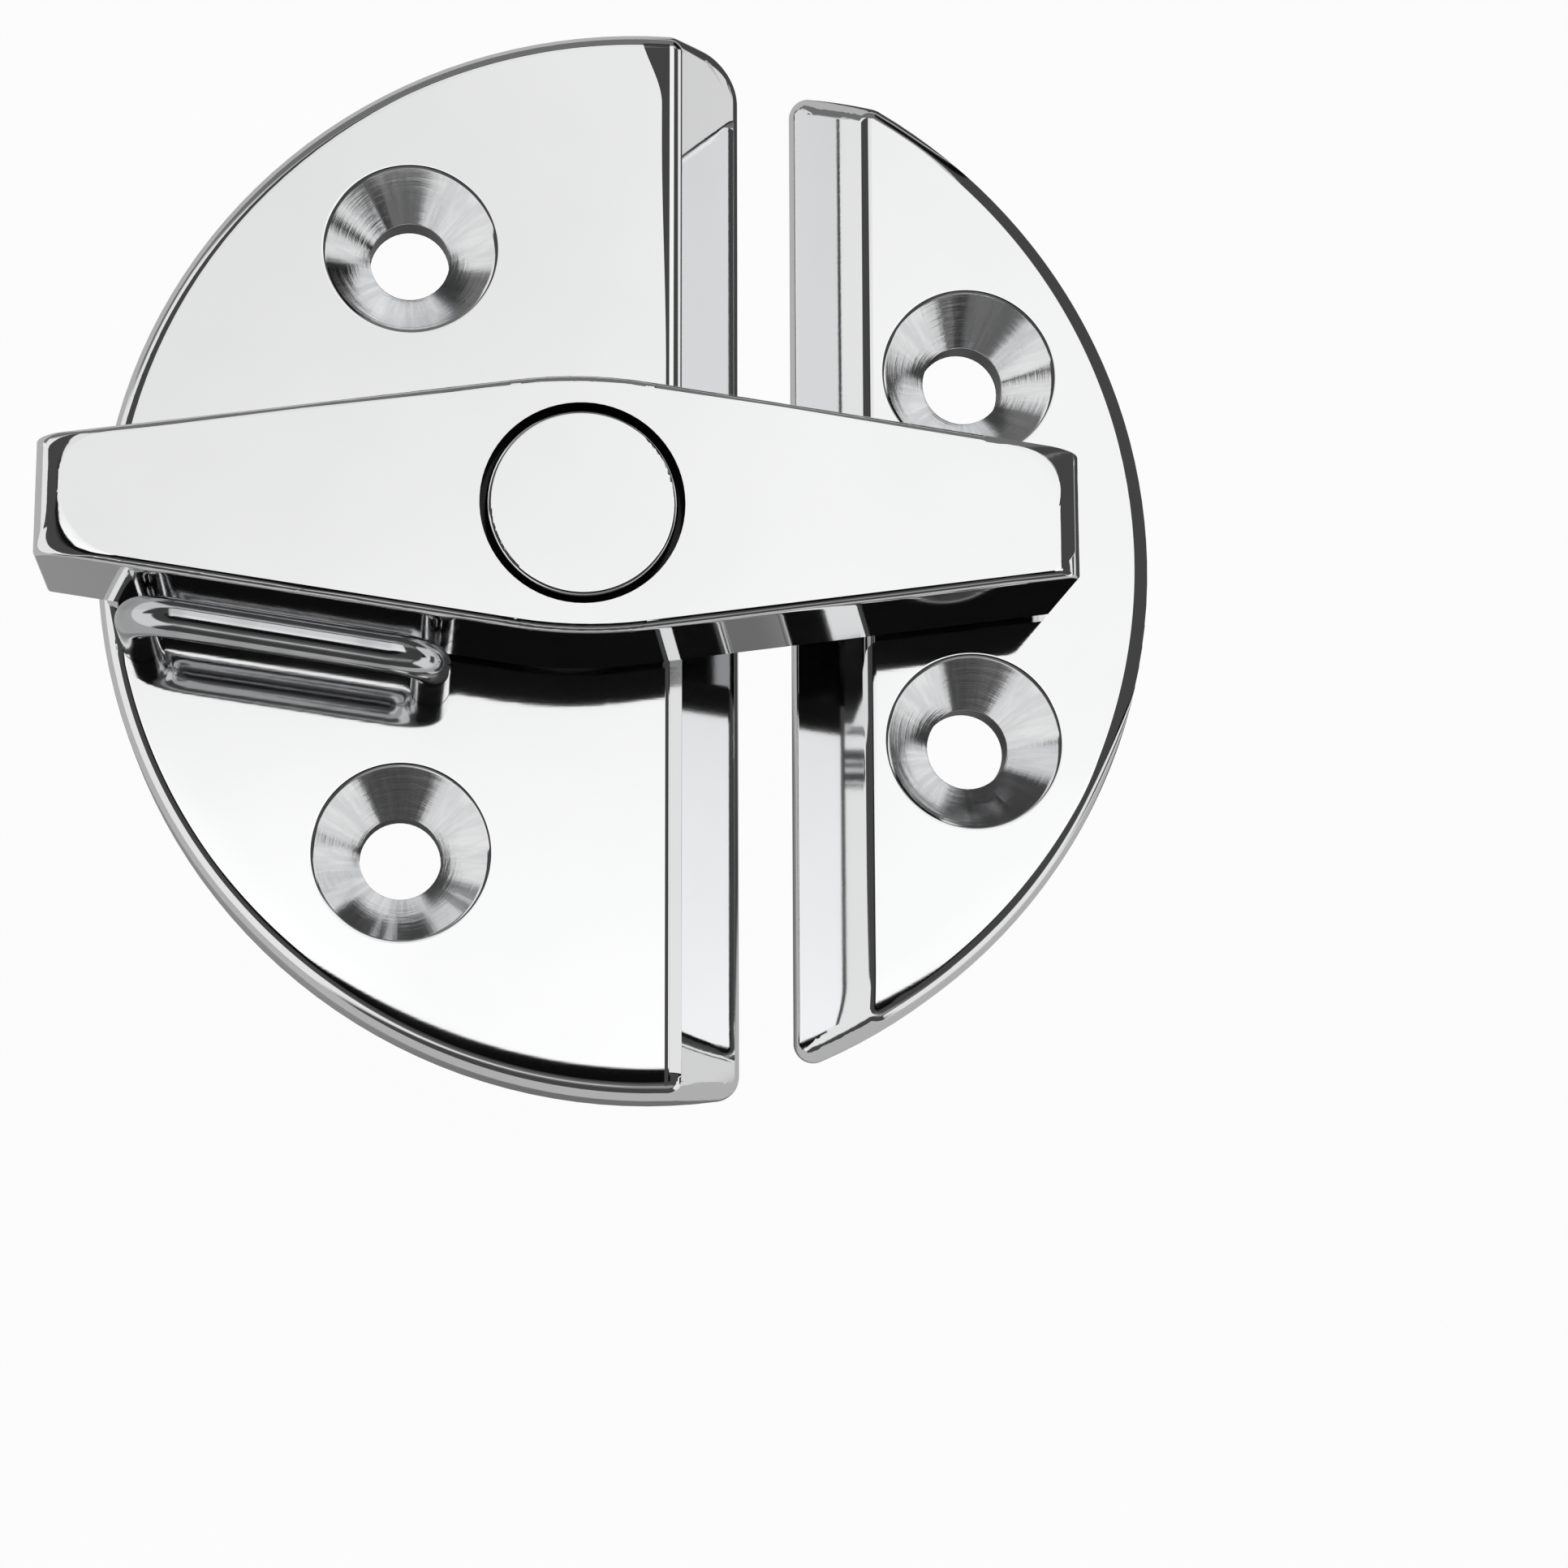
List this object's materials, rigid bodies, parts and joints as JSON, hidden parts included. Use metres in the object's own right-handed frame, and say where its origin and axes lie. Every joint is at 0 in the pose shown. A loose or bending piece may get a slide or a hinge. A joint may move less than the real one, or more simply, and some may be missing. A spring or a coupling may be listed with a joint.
{
  "type": "turn-lever door catch",
  "caption": "Turn-lever catch for a boat door or hatch: the lever pivots on a base plate and closes over the domed nub of its strike plate, beside a fixed wire finger pull.",
  "frame": {"origin": "midway between the base plate's two screw holes, on the plane that both plates are screwed to", "axes": "+X from the base plate to the strike plate, +Y along the gap between them, +Z out of the mounting surface"},
  "size_m": [0.0703, 0.07, 0.0177],
  "materials": {
    "polished_stainless": "mirror-polished 316 stainless steel",
    "plain_stainless": "plain stainless steel",
    "spring_steel": "stainless spring steel",
    "black_nylon": "moulded black nylon"
  },
  "bodies": {
    "base": {"base_plate": "polished_stainless", "pull_bail": "polished_stainless", "pivot_pin": "polished_stainless", "thrust_washer": "black_nylon", "head_washer": "black_nylon", "disc_spring": "spring_steel", "backing_washer": "plain_stainless"},
    "lever": {"turn_lever": "polished_stainless"},
    "strike": {"strike_plate": "polished_stainless", "strike_nub": "polished_stainless"}
  },
  "joints": [
    {"name": "lever_turn", "type": "hinge", "parent": "base", "child": "lever", "pos_m": [0.0106, 0, 0.0119], "axis": [0, 0, 1], "range_deg": [-92, 0]},
    {"name": "strike_part", "type": "slide", "parent": "base", "child": "strike", "axis": [0, 0, -1], "range_m": [0, 0.03]}
  ]
}
